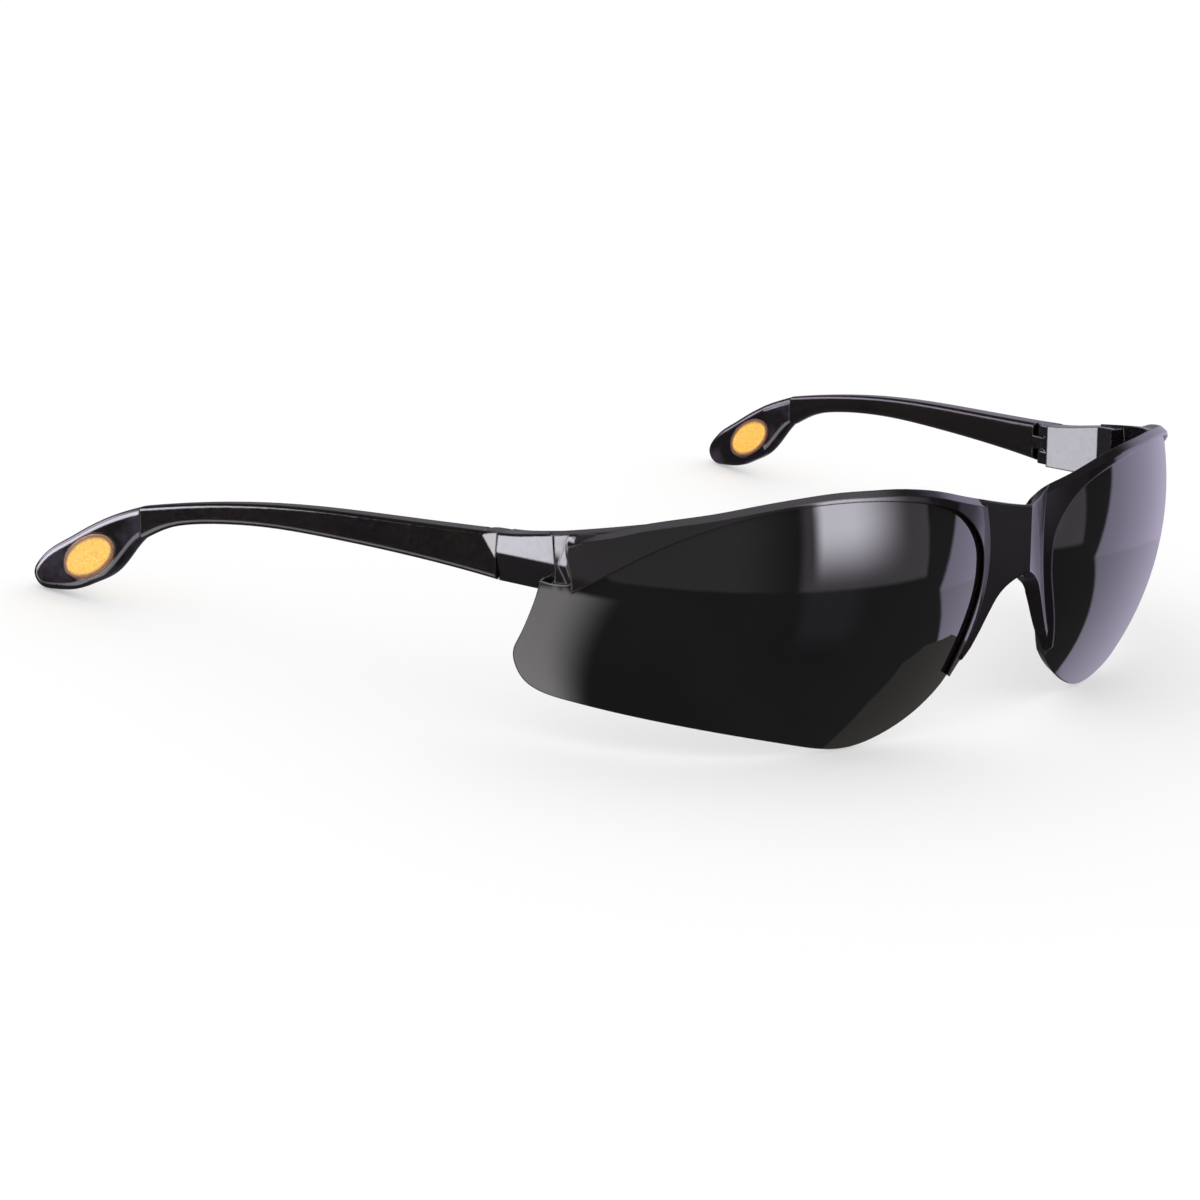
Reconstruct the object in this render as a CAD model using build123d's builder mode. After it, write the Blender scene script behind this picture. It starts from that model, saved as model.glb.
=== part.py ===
from build123d import *
from math import cos, radians, sin, sqrt
import os

os.makedirs("parts", exist_ok=True)

# Half-rim safety glasses.  The pieces are drawn as they are worn: +X is the wearer's left, the
# front faces -Y, +Z is up, and the origin is the foot of the crease down the front of the
# bridge.  At the end they are stood on a table, on both lenses and both temple tips.

# ---- driving dimensions, in millimetres and degrees ----
lens_radius = 54.5          # outer surface of both lenses is a sphere
lens_thick = 2.0
lens_centre = (20.8, 56.2, 3.1)
lens_wrap = 30              # the middle of a lens faces this far outward
outline_reach = 50          # the lens outline is drawn this far from the sphere's centre
groove_gap = 0.06           # between a lens and the groove that holds it

rim_proud = 0.7             # front of the rim, ahead of the lens
rim_depth = 2.5             # back of the rim, behind the lens surface
crest_front = 0.9           # the top of the brow is a crest, bevelled to the front
crest_drop = 32             # and falls away to the back, toward a point this far below the lens centre
bridge_slope = 0.41         # the bridge's flanks fall back this much for each mm outward
bridge_thick = 3.5
flank_reach = 11.0

cheek_crease = 4.8          # height of the crease along the outer side of the end piece
cheek_lean = 10             # above and below it the side leans in

arm_x = 71.5                # the temple is drawn from this point on its outer face
arm_y = 47.4
seam_at = 2.2               # its front end, along it from that point
seam_gap = 0.2
temple_splay = 8.8          # the open temples spread outward
temple_thick = 4.2
neck_thick = 2.8            # thickness of the temple where the tip takes over
temple_length = 80.0
temple_edge = 0.7           # rounding of the long edges
temple_under = 1.5          # rounding under the temple on the side of the head
tip_thick = 3.4
tip_edge = 1.2
tip_seam = 0.1              # between the end of a temple and its tip
tongue_length = 5.0
tongue_height = 2.0
tongue_thick = 1.3
tongue_drop = 27            # the tongue slopes down into the tip
tongue_start = -1.1
tongue_gap = 0.05

hinge_back = 1.9            # hinge axis behind the seam
hinge_in = 2.6              # hinge axis inward of the temple's outer face
knuckle_radius = 1.55
knuckle_gap = 0.2
knuckle_low = 3.0
knuckle_high = 5.4
lug_low = 0.4
lug_high = 7.7
lug_room = 1.75             # radius cleared around a lug
swing_room = 2.1            # how far behind the axis a lug reaches when the temple is folded
screw_radius = 0.6
screw_run = 0.05            # running clearance of the temple on its screw
screw_bite = 0.02           # the upper lug is threaded onto the screw
screw_top = 7.0
head_radius = 1.05
head_top = 1.1
slot_width = 0.4
slot_depth = 0.5

oval_long = 6.7             # half of the oval insert's long axis
oval_short = 3.45
oval_tilt = 27
oval_proud = 0.15
oval_gap = 0.05
oval_at = (92.5, -8.4)      # along the temple from the seam, and up

standing_tilt = 4.9         # the front leans back by this much on a table

# ---- planes ----
wrap = radians(lens_wrap)
splay = radians(temple_splay)
along = (sin(splay), cos(splay), 0)
outward = (cos(splay), -sin(splay), 0)
arm = Vector(arm_x, arm_y, 0)
lens_plane = Plane(lens_centre, x_dir=(cos(wrap), sin(wrap), 0), z_dir=(sin(wrap), -cos(wrap), 0))
# temple_side is the outer face of the left temple: x runs back along it and y runs up.
# temple_plan looks down on it: x runs back along it and y runs inward.
temple_side = Plane(arm, x_dir=along, z_dir=outward)
temple_plan = Plane(arm, x_dir=along, z_dir=(0, 0, 1))
seam_plane = Plane(temple_side.from_local_coords((seam_at, 0, 0)), x_dir=(0, 0, 1), z_dir=along)
tongue_plane = Plane(
    temple_side.from_local_coords((temple_length, tongue_start, -(neck_thick - tongue_thick) / 2)),
    x_dir=temple_side.x_dir * cos(radians(tongue_drop)) - Vector(0, 0, sin(radians(tongue_drop))),
    z_dir=outward,
)
hinge_plan = Plane(temple_plan.from_local_coords((seam_at + hinge_back, hinge_in, 0)), x_dir=along)


def lens_blank(gap):
    """The left lens, grown by gap.  Its edge points at the centre of its sphere."""
    grow = 1 + gap / 25
    with BuildPart() as blank:
        for distance in (outline_reach / 2, outline_reach * 1.25):
            k = grow * distance / outline_reach
            with BuildSketch(lens_plane.offset(distance)):
                with BuildLine():
                    lower = Spline(*[(k * x, k * y) for x, y in (
                        (44, -1.2), (47.6, -8.6), (52, -14.8), (55.2, -20.2), (53.6, -25.2), (47.5, -27.1),
                        (40, -26.6), (31.3, -25.9), (12.3, -26.5), (-3.9, -30.9), (-17, -35.6),
                        (-25.7, -34.8), (-33.2, -32.3), (-40, -28.1),
                    )])
                    Spline(*[(k * x, k * y) for x, y in (
                        (-40, -28.1), (-43.6, -22.6), (-46.8, -14.9), (-48.6, -7.7), (-48.6, -3),
                        (-47.4, 0.8), (-43.6, 5.2), (-36.8, 8.7), (-27.3, 10.7), (-18.6, 11.4),
                        (-8.2, 11.4), (2.1, 10.4), (10.1, 8.7), (21.7, 4.6), (31.9, -0.3),
                        (38.8, -1.6), (44, -1.2),
                    )])
                make_face()
        loft(ruled=True)
        with Locations(lens_centre):
            Sphere(lens_radius + gap, mode=Mode.INTERSECT)
            Sphere(lens_radius - lens_thick - gap, mode=Mode.SUBTRACT)
    return blank.part


def drum(radius, low, high):
    """A cylinder on the hinge axis."""
    with BuildPart() as cylinder:
        with BuildSketch(hinge_plan.offset(low)):
            Circle(radius)
        extrude(amount=high - low)
    return cylinder.part


# ---- lenses ----
with BuildPart() as left_lens:
    add(lens_blank(0))

# ---- front frame: brow, bridge, nose rims and end pieces in one moulding ----
# The end piece runs straight back from the end of the brow to the hinge seam.  Its outer side is
# creased along the middle.
with BuildPart() as end_piece:
    with BuildSketch(Plane.XY.offset(-2)):
        Polygon(
            (68.4, 30.5), (71.2, 34.2), (72, 52), (67.4, 52), (66.8, 38), (64.2, 33), align=None
        )
    extrude(amount=16)
    with BuildSketch(Plane.YZ.offset(60)):
        with BuildLine():
            end_top = Spline((30, 10.1), (34.2, 9.7), (39, 9.1), (43.5, 8.4), (52, 7.7))
            Polyline(end_top @ 1, (52, 0.1), (37, 0.1), (34.2, 0.5), (31.4, 2.2), (30, 3.4), end_top @ 0)
        make_face()
    extrude(amount=20, mode=Mode.INTERSECT)
    split(bisect_by=seam_plane.offset(-seam_gap), keep=Keep.BOTTOM)
    for lean in (cheek_lean, -cheek_lean):
        side = Plane((71.2, 34.2, cheek_crease), z_dir=(cos(radians(lean)), -0.045, sin(radians(lean))))
        split(bisect_by=side, keep=Keep.BOTTOM)
    fillet(end_piece.edges().filter_by(GeomType.BSPLINE).sort_by(Axis.X)[-1], radius=0.6)

# Two lugs on the end piece hold the temple's knuckle between them.
with BuildPart() as lugs:
    for low, high in ((lug_low, knuckle_low - knuckle_gap), (knuckle_high + knuckle_gap, lug_high)):
        with BuildSketch(hinge_plan.offset(low)):
            Circle(knuckle_radius)
            with Locations((-hinge_back, 0)):
                Rectangle(2 * hinge_back, 2 * knuckle_radius)
        extrude(amount=high - low)
    add(drum(head_radius + screw_run, lug_low, head_top), mode=Mode.SUBTRACT)
    add(drum(screw_radius + screw_run, lug_low, knuckle_low), mode=Mode.SUBTRACT)
    add(drum(screw_radius - screw_bite, knuckle_high, screw_top), mode=Mode.SUBTRACT)

crest_points = (
    (-49, 6.6), (-45.5, 6.7), (-40, 7.5), (-36, 8.5), (-32.2, 9.7), (-27.7, 11.1), (-23, 12.1),
    (-18.2, 12.7), (-14, 12.9), (-8.9, 13), (-3.8, 12.7), (0.1, 12.3), (5.8, 11.5), (10.4, 10.7),
    (18.1, 9.5), (22.4, 8.6), (25.8, 7.6), (29.1, 6.8), (32, 5.9),
)


def crest_on(distance):
    """The crest seen from a point crest_drop below the sphere's centre, on a plane that far out."""
    points = []
    for x, y in crest_points:
        k = distance / max(38, sqrt((lens_radius - 0.2) ** 2 - x ** 2 - y ** 2))
        points.append((k * x, k * (y + crest_drop) - crest_drop))
    return points


# Behind the crest the brow falls away.
with BuildPart() as fall:
    for distance in (25, 60):
        with BuildSketch(lens_plane.offset(distance)):
            with BuildLine():
                slope = Spline(*crest_on(distance))
                Polyline(slope @ 1, (slope @ 1) + (20, -5), (60, -60), (-110, -60), (-110, 10), slope @ 0)
            make_face()
    loft(ruled=True)

# Outlines of the front, seen square to the middle of the lens.  The brow's runs over the crest, down
# the rounded end of its proud band, back along the edge of the lens and round the nose rim's foot.
with BuildSketch(lens_plane) as brow_outline:
    with BuildLine():
        crest = Spline(*crest_points)
        lobe = Spline(crest @ 1, (32.5, 4.7), (32.5, 2.8), (32.1, 0), (32, -2.6))
        sight = Spline(
            lobe @ 1, (29.3, -0.8), (21.6, 4.1), (10.6, 8.7), (2.2, 10.6), (-8.6, 11.5),
            (-18.6, 10.9), (-25.7, 9.6), (-31.8, 7.1), (-35.4, 3.6), (-37, 0), (-37.2, -2.5),
            (-36.9, -6), (-35.4, -11.1), (-33.4, -16), (-31.6, -20.2),
        )
        foot = Line(sight @ 1, (-32.6, -20.9))
        nose = Spline(
            foot @ 1, (-34.4, -18.4), (-36.5, -14.9), (-39, -10.7), (-41.6, -7.2), (-44, -5.6), (-49, -5.2)
        )
        Line(nose @ 1, crest @ 0)
    make_face()
with BuildSketch(lens_plane) as cheek_outline:
    with BuildLine():
        cheek = Spline((12, 9.5), (19.3, 8.6), (27.7, 7.3), (34, 6.2))
        Polyline(cheek @ 1, (34, -2), (29.3, -0.8), (21.6, 4.1), (12, 8.6), cheek @ 0)
    make_face()

# The space for the nose rises to the front under the bridge and widens toward the face.
with BuildPart() as nose_space:
    for distance, outline in (
        (30, (
            (-26, -24), (-29.6, -20.9), (-33.6, -18.4), (-35.7, -14.9), (-37.4, -11.6), (-39.2, -9.2),
            (-42, -8.2), (-52, -8),
        )),
        (45, (
            (-32.2, -24), (-34.1, -20.9), (-34.8, -18.4), (-36.9, -14.9), (-39.8, -9.9), (-42.8, -4.9),
            (-46, -1.2), (-52, 0.8),
        )),
    ):
        with BuildSketch(lens_plane.offset(distance)):
            with BuildLine():
                edge = Spline(*outline)
                Polyline(edge @ 1, (-90, (edge @ 1).Y), (-90, -24), edge @ 0)
            make_face()
    loft(ruled=True)

peak = lens_plane.from_local_coords((-8.9, 13, lens_radius))

# The band follows the lens.  Behind the bridge and the nose rim's foot it is cut back.
with BuildPart() as band:
    with Locations(lens_centre):
        Sphere(lens_radius + rim_proud)
        Sphere(lens_radius - rim_depth, mode=Mode.SUBTRACT)
    extrude(brow_outline.sketch, amount=lens_radius + 5, dir=lens_plane.z_dir, mode=Mode.INTERSECT)
    long_edges = band.edges().filter_by(lambda edge: edge.length > 40)
    chamfer(long_edges.sort_by_distance(peak)[0], length=crest_front)
    add(fall.part, mode=Mode.INTERSECT)
    with BuildSketch(Plane.XY.offset(-30)):
        Polygon((-20, -3), (5, -3), (5, 4.8), (flank_reach, 6.2), (flank_reach, 20), (-20, 20), align=None)
    extrude(amount=60, mode=Mode.SUBTRACT)
    with BuildSketch(Plane.XY.offset(-30)):
        Polygon((10.5, 6.1), (14.5, 6.9), (14.5, 20), (10.5, 20), align=None)
    extrude(amount=21, mode=Mode.SUBTRACT)

# Above the end of the band the front carries on, set back, as far as the end piece.
with BuildPart() as cheek_band:
    with Locations(lens_centre):
        Sphere(lens_radius - 0.1)
        Sphere(lens_radius - rim_depth, mode=Mode.SUBTRACT)
    extrude(cheek_outline.sketch, amount=lens_radius + 5, dir=lens_plane.z_dir, mode=Mode.INTERSECT)

# The bridge is a flat-flanked ridge with its crease in the middle plane.
with BuildPart() as bridge:
    with BuildSketch(Plane.XY.offset(-30)):
        Polygon(
            (0, 0), (flank_reach, flank_reach * bridge_slope), (flank_reach, 6.2), (0, bridge_thick),
            align=None
        )
    extrude(amount=60)
    extrude(brow_outline.sketch, amount=lens_radius + 5, dir=lens_plane.z_dir, mode=Mode.INTERSECT)
    add(fall.part, mode=Mode.INTERSECT)
    split(bisect_by=Plane.YZ, keep=Keep.TOP)

with BuildPart() as front_half:
    add(band.part)
    add(cheek_band.part)
    add(bridge.part)
    add(end_piece.part)
    add(lugs.part)
    add(nose_space.part, mode=Mode.SUBTRACT)
    add(lens_blank(groove_gap), mode=Mode.SUBTRACT)

with BuildPart() as front_frame:
    add(front_half.part)
    mirror(front_half.part, about=Plane.YZ)

# ---- temples: drawn on the left, with the knuckle in front and the tip's tongue behind ----
with BuildPart() as left_temple:
    with BuildSketch(temple_side):
        with BuildLine():
            top = Spline(
                (seam_at, 7.8), (14.4, 7.4), (26.9, 7.1), (39.8, 6.7), (53, 5.8), (69, 3.8),
                (temple_length, 1.9),
            )
            end = Line(top @ 1, (temple_length, -3.8))
            under = Spline(
                end @ 1, (77.6, -2.6), (74.3, -1.2), (67.2, 0.5), (60.3, 1.4), (50, 2.1), (37, 2.1),
                (24, 1.7), (11.6, 1), (seam_at, 0.2),
            )
            Line(under @ 1, top @ 0)
        make_face()
    extrude(amount=-temple_thick)
    with BuildSketch(temple_plan.offset(-10)):
        Polygon(
            (0, 0), (temple_length, 0), (temple_length, neck_thick), (0, temple_thick), align=None
        )
    extrude(amount=30, mode=Mode.INTERSECT)
    for place, radius in (
        ((40, 2.1, -4), temple_under), ((40, 2.1, 0), temple_edge),
        ((40, 6.9, 0), temple_edge), ((40, 6.9, -3.5), temple_edge),
    ):
        long_edges = left_temple.edges().filter_by(lambda edge: edge.length > 40)
        fillet(long_edges.sort_by_distance(temple_side.from_local_coords(place))[0], radius=radius)
    # next to the seam the upper part of the side leans in like the end piece
    facet_points = (5.3, 7.7, 0), (3.1, 4.8, 0), (seam_at, 7.7, -0.5)
    corners = [temple_side.from_local_coords(place) for place in facet_points]
    facet = (corners[1] - corners[0]).cross(corners[2] - corners[0])
    split(bisect_by=Plane(corners[0], z_dir=facet), keep=Keep.BOTTOM if facet.X > 0 else Keep.TOP)
    # room for the lugs, which swing from ahead of the knuckle to its inner side
    for floor, height in ((-5, knuckle_low + 5), (knuckle_high, 5)):
        with BuildSketch(hinge_plan.offset(floor)):
            Circle(lug_room)
            with Locations((-2, 0)):
                Rectangle(4, 2 * lug_room)
            with Locations((swing_room / 2 - 2, 2)):
                Rectangle(swing_room + 4, 4)
        extrude(amount=height, mode=Mode.SUBTRACT)
    # the knuckle is rounded on the side that turns past the end piece
    with BuildSketch(hinge_plan.offset(knuckle_low - 0.5)):
        with Locations((-2, 2)):
            Rectangle(4, 4)
        Circle(knuckle_radius, mode=Mode.SUBTRACT)
    extrude(amount=knuckle_high - knuckle_low + 1, mode=Mode.SUBTRACT)
    add(drum(screw_radius + screw_run, knuckle_low - 1, knuckle_high + 1), mode=Mode.SUBTRACT)
    # the tongue that holds the tip
    with BuildSketch(tongue_plane):
        with Locations((tongue_length / 2 - 1, 0)):
            Rectangle(tongue_length + 2, tongue_height)
    extrude(amount=-tongue_thick)

# ---- temple tips: flat paddles with an oval insert through each ----
with BuildPart() as left_temple_tip:
    with BuildSketch(temple_side):
        with BuildLine():
            top = Spline(
                (temple_length + tip_seam, 1.9), (83.5, 0.8), (87.1, -0.5), (90.8, -2.1), (94.6, -4),
                (98.3, -6), (102.2, -8.1), (105.4, -10.6), (106.9, -13.3), (105.6, -15.4),
                (102.5, -15.8), (100.2, -15.6), (96.4, -14.9), (92.7, -13.4), (89, -11.7), (85.2, -8.7),
                (82, -5.4), (temple_length + tip_seam, -3.8),
            )
            Line(top @ 1, top @ 0)
        make_face()
    extrude(amount=-tip_thick)
    with BuildSketch(temple_plan.offset(-30)):
        Polygon(
            (temple_length, 0), (115, 0), (115, tip_thick), (88, tip_thick), (temple_length, neck_thick),
            align=None
        )
    extrude(amount=50, mode=Mode.INTERSECT)
    fillet(left_temple_tip.edges().filter_by(lambda edge: edge.length > 8), radius=tip_edge)
    with BuildSketch(tongue_plane.offset(tongue_gap)):
        with Locations((tongue_length / 2, 0)):
            Rectangle(tongue_length + 1, tongue_height + 2 * tongue_gap)
    extrude(amount=-tongue_thick - 2 * tongue_gap, mode=Mode.SUBTRACT)
    with BuildSketch(temple_side.offset(5)):
        with Locations(Location(oval_at, -oval_tilt)):
            Ellipse(oval_long + oval_gap, oval_short + oval_gap)
    extrude(amount=-15, mode=Mode.SUBTRACT)

with BuildPart() as left_tip_insert:
    with BuildSketch(temple_side.offset(oval_proud)):
        with Locations(Location(oval_at, -oval_tilt)):
            Ellipse(oval_long, oval_short)
    extrude(amount=-tip_thick - 2 * oval_proud)
    fillet(left_tip_insert.edges().group_by(Axis(arm, outward))[-1], radius=0.12)

# ---- hinge screws, put in from below ----
with BuildPart() as left_hinge_screw:
    add(drum(screw_radius, lug_low + 0.1, screw_top))
    add(drum(head_radius, lug_low + 0.1, head_top))
    with BuildSketch(hinge_plan.offset(lug_low)):
        Rectangle(4, slot_width)
    extrude(amount=slot_depth, mode=Mode.SUBTRACT)

# ---- the same pieces on the right ----
with BuildPart() as right_lens:
    mirror(left_lens.part, about=Plane.YZ)
with BuildPart() as right_temple:
    mirror(left_temple.part, about=Plane.YZ)
with BuildPart() as right_temple_tip:
    mirror(left_temple_tip.part, about=Plane.YZ)
with BuildPart() as right_tip_insert:
    mirror(left_tip_insert.part, about=Plane.YZ)
with BuildPart() as right_hinge_screw:
    mirror(left_hinge_screw.part, about=Plane.YZ)

# ---- stand the glasses on a table, centred on the origin, and write every piece ----
pieces = {
    "front_frame": front_frame, "left_lens": left_lens, "right_lens": right_lens,
    "left_temple": left_temple, "right_temple": right_temple,
    "left_temple_tip": left_temple_tip, "right_temple_tip": right_temple_tip,
    "left_tip_insert": left_tip_insert, "right_tip_insert": right_tip_insert,
    "left_hinge_screw": left_hinge_screw, "right_hinge_screw": right_hinge_screw,
}
for piece in pieces.values():
    piece.part = Rot(-standing_tilt, 0, 0) * piece.part
boxes = [piece.part.bounding_box() for piece in pieces.values()]
bottom = min(box.min.Z for box in boxes)
middle = (min(box.min.Y for box in boxes) + max(box.max.Y for box in boxes)) / 2
for name, piece in pieces.items():
    piece.part = Pos(0, -middle, -bottom) * piece.part
    piece.part.label = name
    export_step(piece.part, "parts/" + name + ".step")
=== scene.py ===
"""Safety glasses with smoke lenses: looks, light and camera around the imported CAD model."""

import math

import bmesh
import bpy
from mathutils import Matrix, Vector


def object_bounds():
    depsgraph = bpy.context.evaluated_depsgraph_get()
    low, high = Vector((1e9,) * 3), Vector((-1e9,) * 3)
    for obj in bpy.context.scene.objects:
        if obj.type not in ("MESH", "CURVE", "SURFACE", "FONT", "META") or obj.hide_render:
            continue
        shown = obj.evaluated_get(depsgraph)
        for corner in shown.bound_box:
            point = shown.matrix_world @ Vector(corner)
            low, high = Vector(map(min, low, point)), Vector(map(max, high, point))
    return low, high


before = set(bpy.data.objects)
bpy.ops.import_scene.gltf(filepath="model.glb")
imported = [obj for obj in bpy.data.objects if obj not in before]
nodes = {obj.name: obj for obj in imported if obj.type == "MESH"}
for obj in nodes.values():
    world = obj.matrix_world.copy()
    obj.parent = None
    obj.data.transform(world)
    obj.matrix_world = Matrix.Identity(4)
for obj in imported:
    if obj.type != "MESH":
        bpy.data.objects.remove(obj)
cad_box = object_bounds()

edge_radius = 0.0004                # rounding of every plastic edge, in shading only
sharp_angle = math.radians(32)      # faces that turn by more than this meet in a sharp edge
floor_gap = 0.0002                  # between the glasses and the floor
floor_reach = 6                     # from the middle of the floor to its sides
studio_radius = 3


# ---- materials ----

def material(name, **sockets):
    """A Principled material whose constant values sit on the shader's own sockets."""
    made = bpy.data.materials.new(name)
    made.use_nodes = True
    for socket, value in sockets.items():
        principled(made).inputs[socket.replace("_", " ")].default_value = value
    return made


def principled(made):
    """The Principled shader of a material."""
    return made.node_tree.nodes["Principled BSDF"]


def noise(tree, scale, detail=3):
    """Noise in the object's own coordinates, scale in cycles per metre."""
    place = tree.nodes.new("ShaderNodeTexCoord")
    made = tree.nodes.new("ShaderNodeTexNoise")
    made.inputs["Scale"].default_value = scale
    made.inputs["Detail"].default_value = detail
    tree.links.new(place.outputs["Object"], made.inputs["Vector"])
    return made.outputs["Fac"]


def ramp(tree, source, first, last):
    """A colour ramp between two stops of (position, colour), where a colour may be one grey level."""
    made = tree.nodes.new("ShaderNodeValToRGB")
    for element, (position, colour) in zip(made.color_ramp.elements, (first, last)):
        element.position = position
        element.color = (*colour, 1) if isinstance(colour, tuple) else (colour, colour, colour, 1)
    tree.links.new(source, made.inputs["Fac"])
    return made.outputs["Color"]


def smooth_normal(tree, radius, samples):
    """The surface's direction with its sharp edges rounded off by the radius, in metres."""
    made = tree.nodes.new("ShaderNodeBevel")
    made.samples = samples
    made.inputs["Radius"].default_value = radius
    return made.outputs["Normal"]


def bump(tree, shader, source, distance, strength):
    """Relief of the given height in metres, on rounded edges."""
    made = tree.nodes.new("ShaderNodeBump")
    made.inputs["Strength"].default_value = strength
    made.inputs["Distance"].default_value = distance
    tree.links.new(smooth_normal(tree, edge_radius, samples=6), made.inputs["Normal"])
    tree.links.new(source, made.inputs["Height"])
    tree.links.new(made.outputs["Normal"], shader.inputs["Normal"])


def arithmetic(tree, operation, *values):
    """A Math node whose inputs are sockets or plain numbers."""
    made = tree.nodes.new("ShaderNodeMath")
    made.operation = operation
    for socket, value in zip(made.inputs, values):
        if isinstance(value, bpy.types.NodeSocket):
            tree.links.new(value, socket)
        else:
            socket.default_value = value
    return made.outputs["Value"]


def edge(tree, value, start, end):
    """Goes smoothly from 0 to 1 as value goes from start to end."""
    made = tree.nodes.new("ShaderNodeMapRange")
    made.interpolation_type = "SMOOTHSTEP"
    made.inputs["From Min"].default_value = start
    made.inputs["From Max"].default_value = end
    tree.links.new(value, made.inputs["Value"])
    return made.outputs["Result"]


def plastic(name, dark, light, gloss, IOR=1.58, cloud=60, spread=(0.35, 0.7)):
    """Moulded plastic with slightly uneven gloss. Its colour drifts between two shades, which are the
    stops of a ramp, at the positions in spread, over noise at the scale of cloud."""
    made = material(name, IOR=IOR)
    tree = made.node_tree
    shader = principled(made)
    colour = ramp(tree, noise(tree, cloud), (spread[0], dark), (spread[1], light))
    tree.links.new(colour, shader.inputs["Base Color"])
    roughness = ramp(tree, noise(tree, scale=900, detail=5), (0.3, gloss[0]), (0.7, gloss[1]))
    tree.links.new(roughness, shader.inputs["Roughness"])
    bump(tree, shader, noise(tree, scale=350, detail=4), distance=0.00001, strength=0.3)
    return made


def painted_rim_shade(made, width, brown):
    """Painted shade: darkens a plastic to brown where its face meets a sharp edge, a ring of shade
    round its rim.
    """
    tree = made.node_tree
    colour = principled(made).inputs["Base Color"]
    face = tree.nodes.new("ShaderNodeNewGeometry")
    turn = tree.nodes.new("ShaderNodeVectorMath")
    turn.operation = "DOT_PRODUCT"
    tree.links.new(smooth_normal(tree, width, samples=12), turn.inputs[0])
    tree.links.new(face.outputs["Normal"], turn.inputs[1])
    # the cosine between the face and its rounded direction is 1 except near an edge
    away = edge(tree, turn.outputs["Value"], 0.96, 0.998)
    border = tree.nodes.new("ShaderNodeMix")
    border.data_type = "RGBA"
    border.inputs["A"].default_value = (*brown, 1)
    tree.links.new(away, border.inputs["Factor"])
    tree.links.new(colour.links[0].from_socket, border.inputs["B"])
    tree.links.new(border.outputs["Result"], colour)


def matt_bridge(made, inner, outer, dull=0.05, shiny=0.5):
    """Takes the gloss off a plastic near the middle of the face, except where it is seen at a low
    angle. Inner and outer are the distances sideways between which the gloss comes back."""
    tree = made.node_tree
    place = tree.nodes.new("ShaderNodeTexCoord")
    split = tree.nodes.new("ShaderNodeSeparateXYZ")
    tree.links.new(place.outputs["Object"], split.inputs["Vector"])
    beside = edge(tree, arithmetic(tree, "ABSOLUTE", split.outputs["X"]), inner, outer)
    # Facing is 0 where the surface is seen straight on and 1 where it is seen edge on
    tilt = tree.nodes.new("ShaderNodeLayerWeight")
    grazing = edge(tree, tilt.outputs["Facing"], 0.48, 0.64)
    gloss = arithmetic(tree, "MAXIMUM", beside, grazing)
    level = arithmetic(tree, "MULTIPLY_ADD", gloss, shiny - dull, dull)
    tree.links.new(level, principled(made).inputs["Specular IOR Level"])


def brushed_steel(name):
    """Bare metal with fine uneven polish."""
    made = material(name, Metallic=1.0)
    tree = made.node_tree
    colour = ramp(tree, noise(tree, scale=4000), (0.3, 0.45), (0.7, 0.62))
    roughness = ramp(tree, noise(tree, scale=9000), (0.3, 0.22), (0.7, 0.4))
    tree.links.new(colour, principled(made).inputs["Base Color"])
    tree.links.new(roughness, principled(made).inputs["Roughness"])
    return made


# each node takes the finish that its name ends with
finish = {
    "front_frame": plastic(
        "frame_plastic", (0.006, 0.005, 0.006), (0.011, 0.008, 0.010), gloss=(0.04, 0.10),
    ),
    "lens": plastic(
        "lens_plastic", (0.004, 0.004, 0.0045), (0.006, 0.006, 0.0065), gloss=(0.008, 0.02),
    ),
    "temple": plastic(
        "temple_plastic", (0.003, 0.002, 0.0025), (0.008, 0.005, 0.0045), gloss=(0.06, 0.12),
    ),
    # the tip's pale violet shade is painted light: its patches stand in for a haze of light in the
    # smoke plastic, and only its dark shade is the plastic's own colour
    "tip": plastic(
        "tip_plastic_with_painted_haze", (0.004, 0.003, 0.004), (0.055, 0.042, 0.065), gloss=(0.04, 0.10),
        cloud=85, spread=(0.48, 0.72),
    ),
    "insert": plastic(
        "insert_plastic", (0.92, 0.40, 0.025), (1.0, 0.64, 0.11), gloss=(0.3, 0.42),
        IOR=1.5, cloud=2600, spread=(0.3, 0.65),
    ),
    "screw": brushed_steel("screw_steel"),
}
# painted shade: a brown ring round the rim of each orange insert
painted_rim_shade(finish["insert"], width=0.0018, brown=(0.10, 0.016, 0.005))
matt_bridge(finish["front_frame"], inner=0.018, outer=0.030)

for name, node in nodes.items():
    kind = next(key for key in finish if name.endswith(key))
    node.data.materials.clear()
    node.data.materials.append(finish[kind])
    crisp = node.modifiers.new("crisp_edges", "EDGE_SPLIT")
    crisp.split_angle = sharp_angle


# ---- floor and light ----

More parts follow.
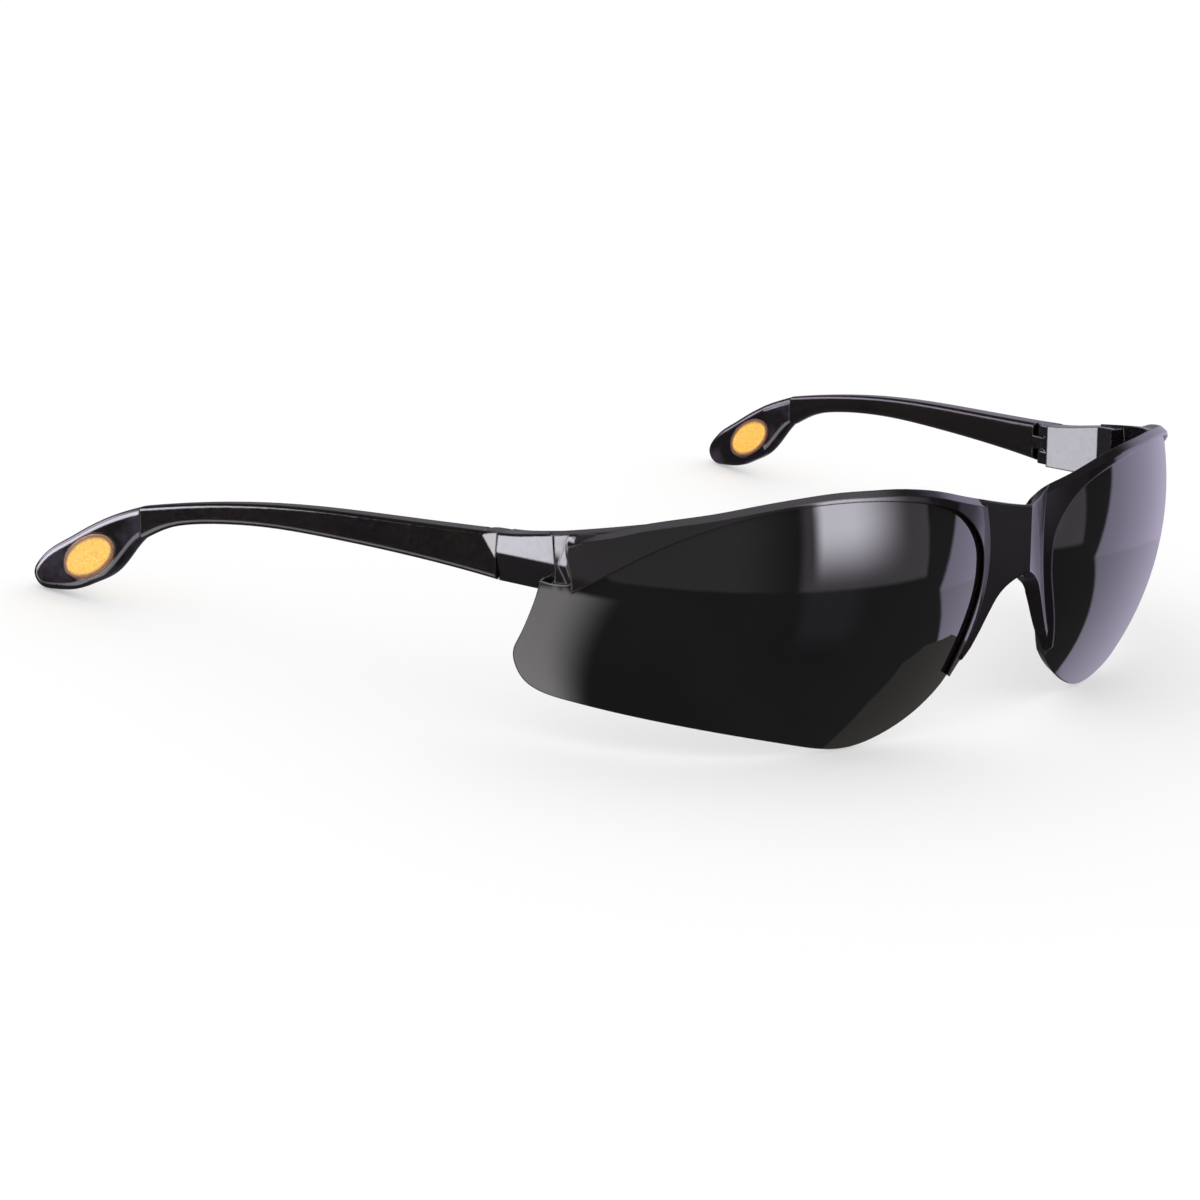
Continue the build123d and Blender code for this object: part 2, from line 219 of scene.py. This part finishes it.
# The studio round the glasses, as their gloss sees it: soft boxes and boards in a dark room. Bearings
# are in degrees, 0 to the front and 90 to the wearer's left, and heights in degrees above the horizon.
# Each board is (left, right, low, high), how wide the fade is at each of those edges, how far the left
# and right edges shift for each degree of height, and its glow.
studio_boards = (
    # soft box in front, its surround, and its glow on the table
    ((-2.5, 21.5, -1, 60), (5, 27, 20, 20), (0, 0), (8.2, 8.0, 8.9)),
    ((-8, 42.5, -11, 60), (4, 2, 1.5, 20), (0, 0), (0.55, 0.48, 0.56)),
    ((-6, 14, -27, -8), (6, 14, 12, 6), (0, 0), (0.12, 0.11, 0.13)),
    # wall on the wearer's left, above and below the table's edge
    ((57, 106, -15, 32), (2.5, 84, 0.5, 18), (0.4, 0), (1.55, 1.40, 1.94)),
    ((38.2, 106, -39, -15), (2.5, 84, 3, 0.5), (-0.85, 0), (1.35, 1.22, 1.66)),
    # low board on the right, then soft boxes on the right from the side to the back
    ((-128, -68, -66, -17), (4, 24, 14, 2), (0, 0.61), (2.5, 2.4, 2.45)),
    ((-110, -89.5, -5.5, 16), (4, 3, 3, 8), (0, 0), (10.6, 10.4, 10.9)),
    ((-135, -129.5, -20, -9), (4, 2, 4, 3), (0, 0), (8.5, 8.3, 9.1)),
    ((-147, -127.5, -10, 20), (3, 2, 4, 10), (0, 0), (9.6, 9.4, 10.4)),
    ((-178, -146, 0, 20), (10, 8, 8, 6), (0, 0), (3.6, 3.1, 3.9)),
    # dim room beyond the table, behind the glasses, and overhead
    ((-95, -20, -11, 40), (20, 30, 1.5, 20), (0, 0), (0.26, 0.26, 0.26)),
    ((124, 160, -2, 26), (10, 10, 6, 8), (0, 0), (0.12, 0.11, 0.13)),
    ((-181, 181, 52, 91), (1, 1, 16, 0.5), (0, 0), (1.0, 0.96, 1.05)),
)
dark_room = (0.09, 0.088, 0.092)


def glowing(name):
    """A material that only glows, and the socket for the glow's colour."""
    made = bpy.data.materials.new(name)
    made.use_nodes = True
    made.cycles.emission_sampling = "NONE"
    tree = made.node_tree
    tree.nodes.clear()
    emit = tree.nodes.new("ShaderNodeEmission")
    out = tree.nodes.new("ShaderNodeOutputMaterial")
    tree.links.new(emit.outputs["Emission"], out.inputs["Surface"])
    return made, emit.inputs["Color"]


def within(tree, values, start, end, fade_in, fade_out):
    """1 where the first value is past start and the second is short of end, and 0 elsewhere, with a
    fade of its own width at each."""
    first, second = values
    return arithmetic(
        tree, "MULTIPLY",
        edge(tree, first, start - fade_in / 2, start + fade_in / 2),
        edge(tree, second, end + fade_out / 2, end - fade_out / 2),
    )


def studio_glow():
    """The boards' glow added to the dark room's, by direction from the middle of the studio."""
    made, colour = glowing("studio_glow")
    tree = made.node_tree
    place = tree.nodes.new("ShaderNodeTexCoord")
    unit = tree.nodes.new("ShaderNodeVectorMath")
    unit.operation = "NORMALIZE"
    split = tree.nodes.new("ShaderNodeSeparateXYZ")
    tree.links.new(place.outputs["Object"], unit.inputs[0])
    tree.links.new(unit.outputs["Vector"], split.inputs["Vector"])
    ahead = arithmetic(tree, "MULTIPLY", split.outputs["Y"], -1)
    bearing = arithmetic(tree, "DEGREES", arithmetic(tree, "ARCTAN2", split.outputs["X"], ahead))
    height = arithmetic(tree, "DEGREES", arithmetic(tree, "ARCSINE", split.outputs["Z"]))
    total = None
    for (left, right, low, high), fades, leans, glow in studio_boards:
        shifts = [arithmetic(tree, "MULTIPLY", height, lean) for lean in leans]
        leant = [arithmetic(tree, "SUBTRACT", bearing, shift) for shift in shifts]
        inside = arithmetic(
            tree, "MULTIPLY",
            within(tree, leant, left, right, *fades[:2]),
            within(tree, (height, height), low, high, *fades[2:]),
        )
        added = tree.nodes.new("ShaderNodeVectorMath")
        added.operation = "MULTIPLY_ADD"
        added.inputs[0].default_value = glow
        tree.links.new(inside, added.inputs[1])
        if total is None:
            added.inputs[2].default_value = dark_room
        else:
            tree.links.new(total, added.inputs[2])
        total = added.outputs["Vector"]
    tree.links.new(total, colour)
    return made


def stage_piece(name, mesh, made):
    """A piece of the stage, which isn't part of the glasses."""
    mesh.materials.append(made)
    piece = bpy.data.objects.new(name, mesh)
    bpy.context.scene.collection.objects.link(piece)
    return piece


def card(name, corners, made):
    """A flat stage piece through the corners, in metres."""
    mesh = bpy.data.meshes.new(name)
    mesh.from_pydata(corners, [], [range(len(corners))])
    return stage_piece(name, mesh, made)


def only_in_gloss(piece):
    """Leaves a stage piece in reflections and nowhere else."""
    piece.visible_camera = False
    piece.visible_diffuse = False
    piece.visible_transmission = False
    piece.visible_shadow = False


shell = bmesh.new()
bmesh.ops.create_uvsphere(shell, u_segments=64, v_segments=32, radius=studio_radius)
studio_mesh = bpy.data.meshes.new("studio")
shell.to_mesh(studio_mesh)
shell.free()
only_in_gloss(stage_piece("studio", studio_mesh, studio_glow()))

ground = cad_box[0].z - floor_gap
paper = material(
    "paper", Base_Color=(0.6, 0.6, 0.6, 1), Roughness=0.9, Specular_IOR_Level=0.0,
    Emission_Color=(1, 1, 1, 1), Emission_Strength=0.38,
)
corners = [(x * floor_reach, y * floor_reach, ground) for x, y in ((-1, -1), (1, -1), (1, 1), (-1, 1))]
floor = card("floor", corners, paper)
floor.visible_glossy = False

# a card on the floor under the bridge that glows dim brown and is seen only in reflections: a painted
# reflection of the floor in the glasses' shade, which the right lens shows low on its nose side
shaded_floor_outline = (
    (-0.036, -0.064), (-0.024, -0.0765), (-0.008, -0.0885), (0.006, -0.092),
    (0.022, -0.0865), (0.024, -0.078), (-0.010, -0.060),
)
brown, colour = glowing("shaded_floor_glow")
colour.default_value = (0.27, 0.25, 0.225, 1)
only_in_gloss(card("shaded_floor_card", [(x, y, ground + floor_gap / 2) for x, y in shaded_floor_outline], brown))

world = bpy.data.worlds.new("studio")
bpy.context.scene.world = world
world.use_nodes = True
world.node_tree.nodes["Background"].inputs["Color"].default_value = (1, 1, 1, 1)
world.node_tree.nodes["Background"].inputs["Strength"].default_value = 1.06


# ---- camera ----

azimuth, elevation, roll = math.radians(-45.33), math.radians(16.68), math.radians(3.95)
aim = Vector((-0.0385, -0.01684, 0.01342))
distance = 0.5607
flat = math.cos(elevation)
back = Vector((math.sin(azimuth) * flat, -math.cos(azimuth) * flat, math.sin(elevation)))
side = back.cross(Vector((0, 0, -1))).normalized()
up = back.cross(side)
side, up = side * math.cos(roll) + up * math.sin(roll), up * math.cos(roll) - side * math.sin(roll)
turned = Matrix((side, up, back)).transposed().to_4x4()
eye = bpy.data.objects.new("camera", bpy.data.cameras.new("camera"))
bpy.context.scene.collection.objects.link(eye)
eye.matrix_world = Matrix.Translation(aim + back * distance) @ turned
eye.data.sensor_width = 36
eye.data.lens = 100.72
eye.data.clip_start = 0.01
bpy.context.scene.camera = eye
bpy.context.scene.view_settings.view_transform = "Standard"
